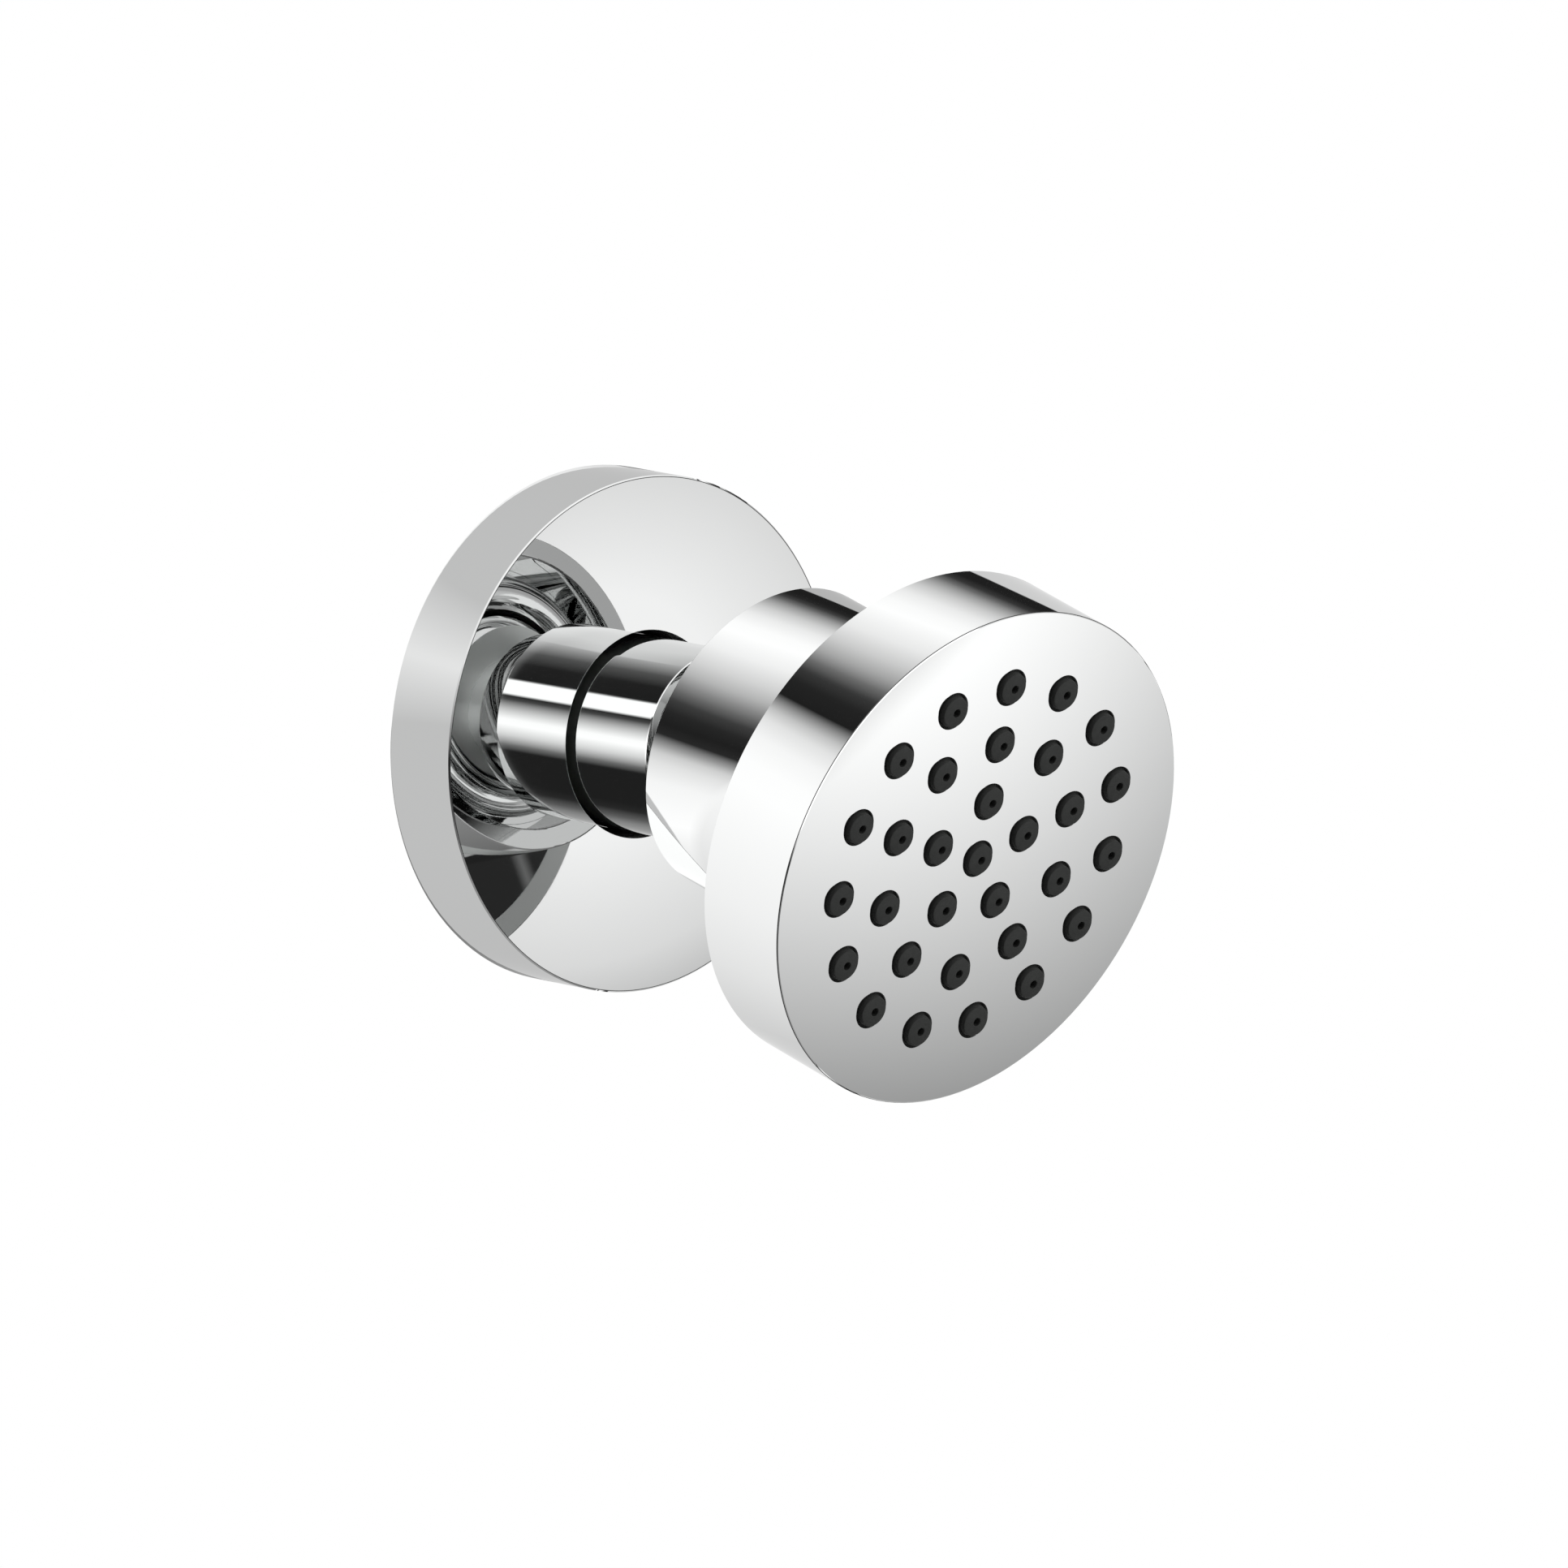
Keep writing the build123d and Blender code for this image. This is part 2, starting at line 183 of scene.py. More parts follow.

# %% [markdown]
# Bright chrome on polished brass mirrors the room, so its look comes from what stands round it. Chrome
# gives back only about seven tenths of the light, which is why corners that mirror each other go dark.
# The plating is never perfect: buffing leaves patches that are a little duller and a ripple too shallow
# to see by itself. Both are noises, on the roughness and on the bump. Some places aren't polished like
# the rest. A crisp edge mirrors the dark surroundings as a thin dark line, and here that line is painted
# into the colour as a painted reflection. They could be separate pieces, but a mark on the finish is
# simpler: each mark has a place, a colour and a roughness.

# %% Polished chrome
chrome_share = 0.7
chrome_colour = (chrome_share, chrome_share + 0.005, chrome_share + 0.003, 1)
chrome_edge_tint = (0.87, 0.87, 0.87, 1)


def polished_chrome(name, marks=()):
    finish, tree = new_finish(name)
    place = place_on_piece(tree)
    patches = noise(tree, place, scale=140.0, detail=3.0)
    dullness = to_range(tree, patches, low=0.01, high=0.03, start=0.35, end=0.75)
    ripple = noise(tree, place, scale=260.0, detail=1.0)
    colour = chrome_colour
    for mark, mark_colour, mark_roughness in marks:
        marked = mark(tree, place)
        colour = mix_colours(tree, marked, colour, mark_colour)
        dullness = mix_values(tree, marked, dullness, mark_roughness)
    end_finish(tree, add_node(tree, "ShaderNodeBsdfPrincipled", {
        "Base Color": colour, "Metallic": 1.0, "Roughness": dullness,
        "Normal": bump_from(tree, ripple, strength=0.02, distance=0.02 * mm),
        "Specular Tint": chrome_edge_tint,
    }))
    return finish


chrome = polished_chrome("polished_chrome")
print("made", chrome.name)

# %% [markdown]
# A mark on a turned piece needs two measures of a point: how far along the piece's axis it lies, and how
# far out from the axis. A dot product gives the first and the length of a cross product the second.

# %% Measures on a turned piece
def calculate_vector(tree, operation, result, first, second=(0, 0, 0)):
    step = add_node(tree, "ShaderNodeVectorMath", {0: first, 1: second}, operation=operation)
    return step.outputs[result]


def along_axis(tree, place, centre, axis):
    apart = calculate_vector(tree, "SUBTRACT", "Vector", place, centre)
    return calculate_vector(tree, "DOT_PRODUCT", "Value", apart, axis)


def out_from_axis(tree, place, centre, axis):
    apart = calculate_vector(tree, "SUBTRACT", "Vector", place, centre)
    aside = calculate_vector(tree, "CROSS_PRODUCT", "Vector", apart, axis)
    return calculate_vector(tree, "LENGTH", "Value", aside)


def within(tree, value, start, end):
    begun = calculate(tree, "GREATER_THAN", value, start)
    return calculate(tree, "MULTIPLY", begun, calculate(tree, "LESS_THAN", value, end))


print("measures:", along_axis.__name__, out_from_axis.__name__)

# %% [markdown]
# The measures give four kinds of mark: a band along the axis, a flat as a very thin band, the inside of a
# bore, and a line on a front edge. Round such an edge, the place along the axis less the distance from
# it runs from the side, below zero, over the tiny chamfer and onto the face, above zero, so the line is
# a narrow range of it.

# %% Marks on a turned piece
flat_tolerance = 0.05 * mm


def turned_band(centre, axis, start, end):
    def mark(tree, place):
        return within(tree, along_axis(tree, place, centre, axis), start, end)
    return mark


def turned_flat(centre, axis, spot):
    return turned_band(centre, axis, spot - flat_tolerance, spot + flat_tolerance)


def inside_bore(centre, axis, radius):
    def mark(tree, place):
        return calculate(tree, "LESS_THAN", out_from_axis(tree, place, centre, axis), radius)
    return mark


def edge_line(centre, axis, face_at, radius, start, end):
    def mark(tree, place):
        along = along_axis(tree, place, centre, axis)
        level = calculate(tree, "SUBTRACT", along, out_from_axis(tree, place, centre, axis))
        return within(tree, calculate(tree, "ADD", level, radius - face_at), start, end)
    return mark


print("flats are found within", in_mm((flat_tolerance,)), "mm")

# %% [markdown]
# The front edges of the rosette and of the spray face are turned crisp, and each shows as a hairline:
# such an edge mirrors the dark surroundings, and that hairline is painted into the colour as a painted
# reflection. The flat behind the ball and the rear rim of the spray disc are only turned, so they stay
# satin grey. The stub's rear edge has a thin band, a little rougher and painted dark grey: a painted
# reflection of the dark line such an edge shows. The bore in the rosette is left as it was drilled. The
# sizes are those of the solids.

# %% Place the marks
face_reach = 27.3 * mm
head_depth = 12.6 * mm
head_r = (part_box("spray_face")[1][0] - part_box("spray_face")[0][0]) / 2
disc_back = face_reach - head_depth
stub_back = -8.8 * mm
ball_flat = -ball_centre.y - 5.9 * mm
bore_r = 12.1 * mm

# painted reflection: a thin dark line painted on the rosette's front edge, standing for the dark surroundings it
# mirrors
rosette_edge_painted_line = edge_line(wall_centre, wall_axis, rosette_depth, rosette_r, start=0.15 * mm, end=0.25 * mm)
rosette_bore = inside_bore(wall_centre, wall_axis, bore_r + 0.02 * mm)
# painted reflection: the same thin dark line painted on the spray face's front edge
face_edge_painted_line = edge_line(ball_centre, head_axis, face_reach, head_r, start=-0.17 * mm, end=0.0)
disc_rim = turned_flat(ball_centre, head_axis, disc_back)
ball_rear = turned_flat(wall_centre, wall_axis, ball_flat)
# painted reflection: a thin band at the stub's rear edge, a little rougher and painted dark grey, standing for the
# dark line such an edge mirrors
stub_painted_edge_band = turned_band(ball_centre, head_axis, stub_back + 0.05 * mm, stub_back + 0.21 * mm)
print("ball's flat and disc's back in mm:", in_mm((ball_flat, disc_back)))

# %% [markdown]
# Four chromed pieces have marks, so each of them gets a chrome of its own, made by the same function.

# %% Marked chrome
# colour of the painted reflection on the crisp front edges: a dark hairline painted into the chrome
painted_edge_reflection_colour = (0.08, 0.08, 0.08, 1)
turned_colour = (0.75, 0.77, 0.76, 1)
# colour of the painted dark line on the stub's rear edge
stub_edge_painted_colour = (0.3, 0.3, 0.3, 1)
rosette_chrome = polished_chrome("polished_chrome_rosette", [
    (rosette_edge_painted_line, painted_edge_reflection_colour, 0.2),
    (rosette_bore, turned_colour, 0.35),
])
face_chrome = polished_chrome("polished_chrome_face", [
    (face_edge_painted_line, painted_edge_reflection_colour, 0.2),
    (disc_rim, turned_colour, 0.4),
])
ball_chrome = polished_chrome("polished_chrome_ball", [(ball_rear, turned_colour, 0.4)])
stub_chrome = polished_chrome("polished_chrome_stub", [(stub_painted_edge_band, stub_edge_painted_colour, 0.3)])
print("made", rosette_chrome.name, face_chrome.name, ball_chrome.name, stub_chrome.name)

# %% [markdown]
# The nozzles are dark grey silicone and the seals black rubber. Both are moulded: a satin surface with
# a fine grain from the tool, a little uneven in colour, as where water dries and leaves a trace of lime.
# One function makes both, because only the colours and the size of the grain differ.

# %% Moulded rubber
def moulded_rubber(name, colour, pale_colour, grain_scale):
    finish, tree = new_finish(name)
    place = place_on_piece(tree)
    cloud = noise(tree, place, scale=900.0, detail=4.0)
    grain = noise(tree, place, scale=grain_scale, detail=2.0)
    end_finish(tree, add_node(tree, "ShaderNodeBsdfPrincipled", {
        "Base Color": mix_colours(tree, cloud, colour, pale_colour),
        "Roughness": to_range(tree, grain, low=0.38, high=0.62),
        "Normal": bump_from(tree, grain, strength=0.25, distance=0.03 * mm),
        "Specular IOR Level": 0.08,
    }))
    return finish


nozzle_silicone = moulded_rubber(
    "nozzle_silicone", (0.036, 0.037, 0.036, 1), (0.05, 0.0515, 0.05, 1), grain_scale=9000.0)
seal_rubber = moulded_rubber(
    "seal_rubber", (0.016, 0.016, 0.016, 1), (0.03, 0.03, 0.03, 1), grain_scale=7000.0)
print("made", nozzle_silicone.name, "and", seal_rubber.name)

# %% [markdown]
# The ball's liner and seat, the flow limiter and the distributor are natural white acetal, a hard waxy
# plastic that light enters a little way. A little subsurface light gives the wax, and a wide noise the
# uneven flow in the mould.

# %% Acetal
def waxy_acetal():
    finish, tree = new_finish("acetal")
    flow = noise(tree, place_on_piece(tree), scale=180.0, detail=3.0)
    end_finish(tree, add_node(tree, "ShaderNodeBsdfPrincipled", {
        "Base Color": mix_colours(tree, flow, (0.80, 0.80, 0.76, 1), (0.88, 0.88, 0.85, 1)),
        "Roughness": 0.42, "Subsurface Weight": 0.15, "Subsurface Scale": 1 * mm,
    }))
    return finish


acetal = waxy_acetal()
print("made", acetal.name)

# %% [markdown]
# The strainer and the disc spring are stainless sheet with the fine parallel lines of rolling. A noise
# that is stretched one way gives such lines, and they change the roughness only.

# %% Spring steel
def rolled_steel():
    finish, tree = new_finish("spring_steel")
    stretched = add_node(tree, "ShaderNodeMapping", {
        "Vector": place_on_piece(tree), "Scale": (9000.0, 9000.0, 200.0),
    }).outputs["Vector"]
    lines = noise(tree, stretched, scale=1.0, detail=2.0)
    end_finish(tree, add_node(tree, "ShaderNodeBsdfPrincipled", {
        "Base Color": (0.6, 0.6, 0.6, 1), "Metallic": 1.0,
        "Roughness": to_range(tree, lines, low=0.18, high=0.36),
    }))
    return finish


spring_steel = rolled_steel()
print("made", spring_steel.name)

# %% [markdown]
# Each solid of the frame takes the finish of its material slot in the record, so that no piece is left
# with a plain colour. The four marked solids take their own chrome.

# %% Dress the solids
finishes = {
    "polished_chrome": chrome,
    "nozzle_silicone": nozzle_silicone,
    "seal_rubber": seal_rubber,
    "acetal": acetal,
    "spring_steel": spring_steel,
}
marked_chrome = {
    "rosette": rosette_chrome,
    "spray_face": face_chrome,
    "ball_stem": ball_chrome,
    "head_back": stub_chrome,
}
for subpart in frame["record"]["subparts"]:
    solid = nodes[subpart["node"]]
    solid.data.materials.clear()
    solid.data.materials.append(marked_chrome.get(subpart["node"], finishes[subpart["material_slot"]]))

# %% [markdown]
# The pieces that the scene makes itself are turned or moulded round an axis, so they are built from rings
# of points. One helper makes a ring round the neck's axis, cut flat on two sides where a width is given,
# one joins two rings with faces, and one makes the form an object with crisp edges.

# %% Helpers for turned pieces
def ring_at(form, along, radius_at, half_width=None, sides=144):
    ring = []
    for k in range(sides):
        angle = 2 * math.pi * k / sides
        radius = radius_at(angle)
        x = radius * math.sin(angle)
        if half_width:
            x = max(-half_width, min(half_width, x))
        ring.append(form.verts.new((x, -along, radius * math.cos(angle))))
    return ring


def plain(radius):
    return lambda angle: radius


def join_rings(form, first, second):
    count = len(first)
    for k in range(count):
        form.faces.new((first[k], second[k], second[(k + 1) % count], first[(k + 1) % count]))


def finish_mesh(form, name, finish, sharp_degrees=28):
    bmesh.ops.recalc_face_normals(form, faces=form.faces)
    mesh = bpy.data.meshes.new(name)
    form.to_mesh(mesh)
    form.free()
    mesh.shade_smooth()
    mesh.set_sharp_from_angle(angle=math.radians(sharp_degrees))
    mesh.materials.append(finish)
    piece = bpy.data.objects.new(name, mesh)
    bpy.context.collection.objects.link(piece)
    return piece


print("ring helpers:", ring_at.__name__, join_rings.__name__, finish_mesh.__name__)

# %% [markdown]
# The neck is one turned brass piece: a half-inch pipe thread behind, a groove, two wrench flats and the
# plain polished neck. The solid has a smooth cylinder for the thread, so the scene turns the neck again
# with the real ridges. Its sizes come from the frame where the frame has them, and the rest are those of
# the solid.

# %% Sizes of the neck
inlet = next(mount for mount in frame["record"]["mounts"] if mount["name"] == "inlet_thread")
neck_low, neck_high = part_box("neck_body")
neck_r = (neck_high[0] - neck_low[0]) / 2
neck_front = -neck_low[1]
inlet_end = -neck_high[1]
thread_r = inlet["dims"]["r_mm"] * mm
thread_pitch = 25.4 / 14 * mm
thread_depth = 0.64 * thread_pitch
thread_chamfer = 1.0 * mm
thread_stop = 0.4 * mm
relief_r = thread_r - 1.2 * mm
shoulder = 2.6 * mm
flats_end = shoulder + 2.4 * mm
flats_half = 10.0 * mm
neck_edge = 0.1 * mm
socket_r = 8.05 * mm
socket_back = neck_front - 8.5 * mm
passage_r = 6.0 * mm
chamber_r = 7.55 * mm
chamber_front = inlet_end + 6.8 * mm
print("neck radius and thread pitch in mm:", in_mm((neck_r, thread_pitch)))

# %% [markdown]
# A screw modifier could wind the thread, but a turned grid whose rings breathe in and out along a helix
# gives one closed skin, with the chamfer at the end cutting the ridges as a lathe does. Pipe threads are
# rounded at crest and root. The arc sine of a slightly shortened cosine is a zigzag with such rounded
# tips, so one formula gives the ridge's height from 0 at the root to 1 at the crest.

# %% The thread
ridge_sharpness = 0.97
thread_rows = 96


def ridge(turns):
    wave = math.asin(ridge_sharpness * math.cos(2 * math.pi * turns))
    return 0.5 + 0.5 * wave / math.asin(ridge_sharpness)


def thread_radius(along, angle):
    turns = along / thread_pitch + angle / (2 * math.pi)
    radius = thread_r - thread_depth * (1 - ridge(turns))
    return min(radius, thread_r - thread_chamfer + along - inlet_end)


def thread_rings(form):
    rings = []
    for row in range(thread_rows + 1):
        along = inlet_end + (thread_stop - inlet_end) * row / thread_rows
        rings.append(ring_at(form, along, lambda angle: thread_radius(along, angle)))
    return rings


print("thread rows:", thread_rows, "turns:", round((thread_stop - inlet_end) / thread_pitch, 1))

# %% [markdown]
# The neck's skin goes round the whole section: from the inlet's chamber over the thread, the groove, the
# flats and the polished neck, and back through the socket and the water passage to where it began. It
# stands for the solid and moves with the wall unit.

# %% Turn the neck
neck_section = [
    (flats_end, neck_r), (neck_front - neck_edge, neck_r), (neck_front, neck_r - neck_edge),
    (neck_front, socket_r), (socket_back, socket_r), (socket_back, passage_r),
    (chamber_front, passage_r), (chamber_front, chamber_r),
]
form = bmesh.new()
rings = [ring_at(form, inlet_end, plain(chamber_r))]
rings += thread_rings(form)
rings.append(ring_at(form, thread_stop, plain(relief_r)))
rings.append(ring_at(form, shoulder, plain(relief_r)))
rings.append(ring_at(form, shoulder, plain(neck_r), flats_half))
rings.append(ring_at(form, flats_end, plain(neck_r), flats_half))
for along, radius in neck_section:
    rings.append(ring_at(form, along, plain(radius)))
for k in range(len(rings)):
    join_rings(form, rings[k], rings[(k + 1) % len(rings)])
threaded_neck = finish_mesh(form, "threaded_neck", chrome)
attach(threaded_neck, "wall_unit")
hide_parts("neck_body")
print("neck faces:", len(threaded_neck.data.polygons))

# %% [markdown]
# The nozzles are one soft moulding: a round mat behind the chromed face with a nub for each hole. The mat
# fills the hole, and out of it the nub rises from a groove, which is why a dark ring shows round each
# one. It tapers a little and has a low crown with a jet in the middle. Its profile is a list of points,
# each with a radius and a height above the spray face.

# %% Sizes of the nozzle mat
face_thick = 2.0 * mm
mat_thick = 2.0 * mm
mat_r = 27.25 * mm
hole_r = 2.15 * mm
nub_r = 1.87 * mm
nub_rise = 0.7 * mm
groove = 0.45 * mm
jet_r = 0.5 * mm
mat_front = -face_thick
mat_back = mat_front - mat_thick
nub_profile = [
    (hole_r - 0.01 * mm, mat_front),
    (hole_r - 0.01 * mm, -groove),
    (nub_r + 0.02 * mm, -groove),
    (nub_r, 0.0),
    (1.80 * mm, 0.45 * mm),
    (1.77 * mm, 0.50 * mm),
    (1.71 * mm, 0.535 * mm),
    (1.61 * mm, 0.56 * mm),
    (1.1 * mm, 0.64 * mm),
    (jet_r + 0.06 * mm, nub_rise),
    (jet_r, nub_rise - 0.05 * mm),
    (jet_r, mat_back),
]
print("nub profile points:", len(nub_profile))

# %% [markdown]
# The holes lie on three rings round a middle one, with five more on each ring than on the one inside it,
# so the pattern is worked out and not listed.

# %% The pattern of nozzles
nozzle_pitch = 7.0 * mm


def nozzle_centres():
    centres = [(0.0, 0.0)]
    for ring in (1, 2, 3):
        for k in range(5 * ring):
            angle = math.radians(90) + 2 * math.pi * k / (5 * ring)
            centres.append((ring * nozzle_pitch * math.cos(angle), ring * nozzle_pitch * math.sin(angle)))
    return centres


print("nozzles:", len(nozzle_centres()))

# %% [markdown]
# A mat like this could be cut from a disc with booleans, but 31 cuts leave ragged faces. Here each nub is
# turned from its profile, and the flat skins between the nubs and the rim are filled from their edges, in
# front and behind, so the mat is one closed form. The head is tilted, so places on it are given across,
# up and above the spray face.

# %% Mould the nozzle mat
head_right = Vector((1, 0, 0))
head_up = head_axis.cross(head_right)
face_centre = ball_centre + face_reach * head_axis
rim_sides = 120
nub_sides = 40


def head_ring(form, centre, radius, height, sides):
    ring = []
    for k in range(sides):
        angle = 2 * math.pi * k / sides
        across = centre[0] + radius * math.cos(angle)
        up = centre[1] + radius * math.sin(angle)
        ring.append(form.verts.new(face_centre + across * head_right + up * head_up + height * head_axis))
    return ring


def ring_edges(form, ring):
    return [form.edges.get((ring[k - 1], ring[k])) for k in range(len(ring))]


form = bmesh.new()
rim_front = head_ring(form, (0, 0), mat_r, mat_front, rim_sides)
rim_back = head_ring(form, (0, 0), mat_r, mat_back, rim_sides)
join_rings(form, rim_front, rim_back)
front_edges = ring_edges(form, rim_front)
back_edges = ring_edges(form, rim_back)
for centre in nozzle_centres():
    nub_rings = [head_ring(form, centre, radius, height, nub_sides) for radius, height in nub_profile]
    for lower, upper in zip(nub_rings, nub_rings[1:]):
        join_rings(form, lower, upper)
    front_edges += ring_edges(form, nub_rings[0])
    back_edges += ring_edges(form, nub_rings[-1])
bmesh.ops.triangle_fill(form, edges=front_edges, use_beauty=True, normal=head_axis)
bmesh.ops.triangle_fill(form, edges=back_edges, use_beauty=True, normal=-head_axis)
moulded_nozzles = finish_mesh(form, "moulded_nozzles", nozzle_silicone)
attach(moulded_nozzles, "head")
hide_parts("nozzle_mat")
print("nozzle mat faces:", len(moulded_nozzles.data.polygons))

# %% [markdown]
# Chrome is photographed in a tent of white and black cards, because it shows nothing of its own. The
# cards' patterns are bands, written as (place, brightness in print), where 255 is paper white. The light
# for a brightness follows the curve of the print, and each mirror on the way to the camera keeps part of
# it, so a card is lit that much more.

# %% Light and bands of a card
print_curve = 2.4
print_foot = 14.0
print_white = 255.0


def card_light(brightness, mirrors=1):
    share = (brightness + print_foot) / (print_white + print_foot)
    return share ** print_curve / chrome_share ** mirrors


def bands(tree, value, stops, mirrors=1):
    first = stops[0][0]
    last = stops[-1][0]
    place = to_range(tree, value, low=0.0, high=1.0, start=first, end=last)
    ramp = add_node(tree, "ShaderNodeValToRGB", {"Fac": place})
    while len(ramp.color_ramp.elements) < len(stops):
        ramp.color_ramp.elements.new(0.5)
    for element, (spot, brightness) in zip(ramp.color_ramp.elements, stops):
        light = card_light(brightness, mirrors)
        element.position = (spot - first) / (last - first)
        element.color = (light, light, light, 1)
    return ramp.outputs["Color"]


print("light for paper white:", round(card_light(print_white), 2))

# %% [markdown]
# The bands run round a card, so a pattern needs the turn of a point about some centre, in degrees from
# straight up, and its reach from that centre. Where the mirror is tilted, its bands lean: their turn
# shifts with the reach. A soft step tells one zone of a card from the next.

# %% Places on a card
def turn_about(tree, x, z, centre=(0.0, 0.0)):
    across = calculate(tree, "SUBTRACT", x, centre[0])
    up = calculate(tree, "SUBTRACT", z, centre[1])
    return calculate(tree, "DEGREES", calculate(tree, "ARCTAN2", across, up))


def squared(tree, value):
    return calculate(tree, "POWER", value, 2.0)


def reach_from(tree, x, z, centre=(0.0, 0.0)):
    across = squared(tree, calculate(tree, "SUBTRACT", x, centre[0]))
    up = squared(tree, calculate(tree, "SUBTRACT", z, centre[1]))
    return calculate(tree, "SQRT", calculate(tree, "ADD", across, up))


def lean(tree, turn, reach, pivot, rate):
    shift = calculate(tree, "MULTIPLY", calculate(tree, "SUBTRACT", reach, pivot), rate)
    leaned = calculate(tree, "SUBTRACT", turn, shift)
    return add_node(tree, "ShaderNodeMath", {0: leaned, 1: 180.0, 2: -180.0}, operation="WRAP").outputs[0]


def step_up(tree, value, edge, softness):
    return to_range(tree, value, low=0.0, high=1.0, start=edge - softness / 2, end=edge + softness / 2)


def step_down(tree, value, edge, softness):
    return calculate(tree, "SUBTRACT", 1.0, step_up(tree, value, edge, softness))


print("card helpers:", turn_about.__name__, reach_from.__name__, lean.__name__, step_up.__name__)

# %% [markdown]
# A card's paint is an emission whose pattern is worked out from the place on the card. The cards give
# light only to mirror rays: the camera doesn't see them and they throw no shadow. They are flat rings
# round the neck's axis, or a tube, made from two circles.

# %% Make a card
def card_finish(name, paint):
    finish, tree = new_finish(name)
    place = add_node(tree, "ShaderNodeNewGeometry").outputs["Position"]
    parts = add_node(tree, "ShaderNodeSeparateXYZ", {"Vector": place}).outputs
    end_finish(tree, add_node(tree, "ShaderNodeEmission", {"Color": paint(tree, parts["X"], parts["Z"])}))
    return finish


def mirror_rays_only(card):
    card.visible_camera = False
    card.visible_diffuse = False
    card.visible_transmission = False
    card.visible_volume_scatter = False
    card.visible_shadow = False


def card_between(name, first_circle, second_circle, paint):
    form = bmesh.new()
    circles = [ring_at(form, -y, plain(radius)) for radius, y in (first_circle, second_circle)]
    join_rings(form, circles[0], circles[1])
    card = finish_mesh(form, name, card_finish(name, paint))
    mirror_rays_only(card)
    return card


print("card maker:", card_between.__name__)

# %% [markdown]
# The card at the wall is what the sides of the rosette, of the head's stub and of the spray disc show.
# The three sides see different rings of it: the rosette the ring close to itself, the stub the next one
# and the disc the widest. Each ring has its own bands, dark where the stripes in the photograph are dark.
# The back of the spray disc shows a small patch of the card, dark with one grey line.

# %% Bands of the card at the wall
rosette_bands = [(-180, 190), (-83, 190), (-67, 228), (-48, 190), (180, 190)]
stub_bands = [
    (-180, 255), (-160, 245), (-149, 225), (-143, 205), (-138, 155), (-131, 40), (-123, 30),
    (-113, 38), (-103, 60), (-95, 100), (-87, 135), (-75, 180), (-60, 210), (-36, 240), (-10, 255),
    (5, 252), (25, 235), (42, 205), (57, 155), (66, 105), (73, 63), (80, 38), (88, 30), (98.5, 30),
    (99.5, 180), (135, 182), (160, 230), (180, 255),
]
disc_bands = [
    (-180, 208), (-160, 228), (-140, 240), (-100, 254), (-90, 253), (-79, 245), (-70, 225),
    (-65, 195), (-60.5, 140), (-56.5, 30), (-47, 35), (-40, 55), (-34, 105), (-27, 163), (-18, 202),
    (-6, 233), (14, 255), (24, 250), (36, 235), (48, 202), (58, 157), (65, 107), (72, 55), (80, 32),
    (91.5, 30), (92.5, 205), (180, 207),
]
back_plate_bands = [(36, 45), (59.5, 45), (61, 115), (62.5, 45), (72, 50)]
print("stops round the rosette, stub and disc:", len(rosette_bands), len(stub_bands), len(disc_bands))

# %% [markdown]
# The head is tilted, so the bands of the stub and the disc lean, and the disc's lean more on one side.
# The patch for the back of the disc lies to the right of the neck.

# %% Zones of the card at the wall
rosette_zone = (-5.8 * mm, 1.5 * mm)
rosette_zone_r = 35.1 * mm
head_zone = (0.0, 45 * mm)
stub_zone_r = 81 * mm
stub_pivot = 60 * mm
stub_lean = 1.2 / mm
disc_pivot = 108 * mm
disc_lean = 0.435 / mm
disc_lean_aside = 0.27 / mm
patch_x = (36 * mm, 72 * mm)
patch_z = (-42 * mm, 10 * mm)


def back_plate_patch(tree, x, z):
    right_of = step_up(tree, x, patch_x[0], softness=2 * mm)
    left_of = step_down(tree, x, patch_x[1], softness=1 * mm)
    above = step_up(tree, z, patch_z[0], softness=4 * mm)
    below = step_down(tree, z, patch_z[1], softness=4 * mm)
    beside = calculate(tree, "MULTIPLY", right_of, left_of)
    return calculate(tree, "MULTIPLY", beside, calculate(tree, "MULTIPLY", above, below))


def head_bands(tree, x, z):
    turn = turn_about(tree, x, z, head_zone)
    reach = reach_from(tree, x, z, head_zone)
    stub = bands(tree, lean(tree, turn, reach, stub_pivot, stub_lean), stub_bands)
    aside = calculate(tree, "MULTIPLY", calculate(tree, "DIVIDE", x, reach), disc_lean_aside)
    disc_rate = calculate(tree, "ADD", aside, disc_lean)
    disc = bands(tree, lean(tree, turn, reach, disc_pivot, disc_rate), disc_bands)
    return mix_colours(tree, step_up(tree, reach, stub_zone_r, softness=2 * mm), stub, disc)


print("zones end in mm at", in_mm((rosette_zone_r, stub_zone_r)))

# %% [markdown]
# The zones are laid over one another, the rosette's last. The card lies a hair behind the wall, with a
# hole that is a little wider than the rosette, so that it touches no piece.

# %% The card at the wall
wall_card_y = 0.5 * mm
wall_card_gap = 0.5 * mm
wall_card_r = 600 * mm


def wall_paint(tree, x, z):
    back_plate = bands(tree, calculate(tree, "DIVIDE", x, mm), back_plate_bands)
    head = mix_colours(tree, back_plate_patch(tree, x, z), head_bands(tree, x, z), back_plate)
    rosette = bands(tree, turn_about(tree, x, z), rosette_bands)
    near = reach_from(tree, x, z, rosette_zone)
    return mix_colours(tree, step_up(tree, near, rosette_zone_r, softness=0.3 * mm), rosette, head)


wall_card = card_between(
    "wall_card", (rosette_r + wall_card_gap, wall_card_y), (wall_card_r, wall_card_y), wall_paint)
print("made", wall_card.name)

# %% [markdown]
# The card in front is what the flat faces and the neck show. The neck's rays go by way of the rosette's
# face, so its stripes are bands on the ring of this card that lies at the neck's mirror angle, brighter
# because two mirrors dim them.

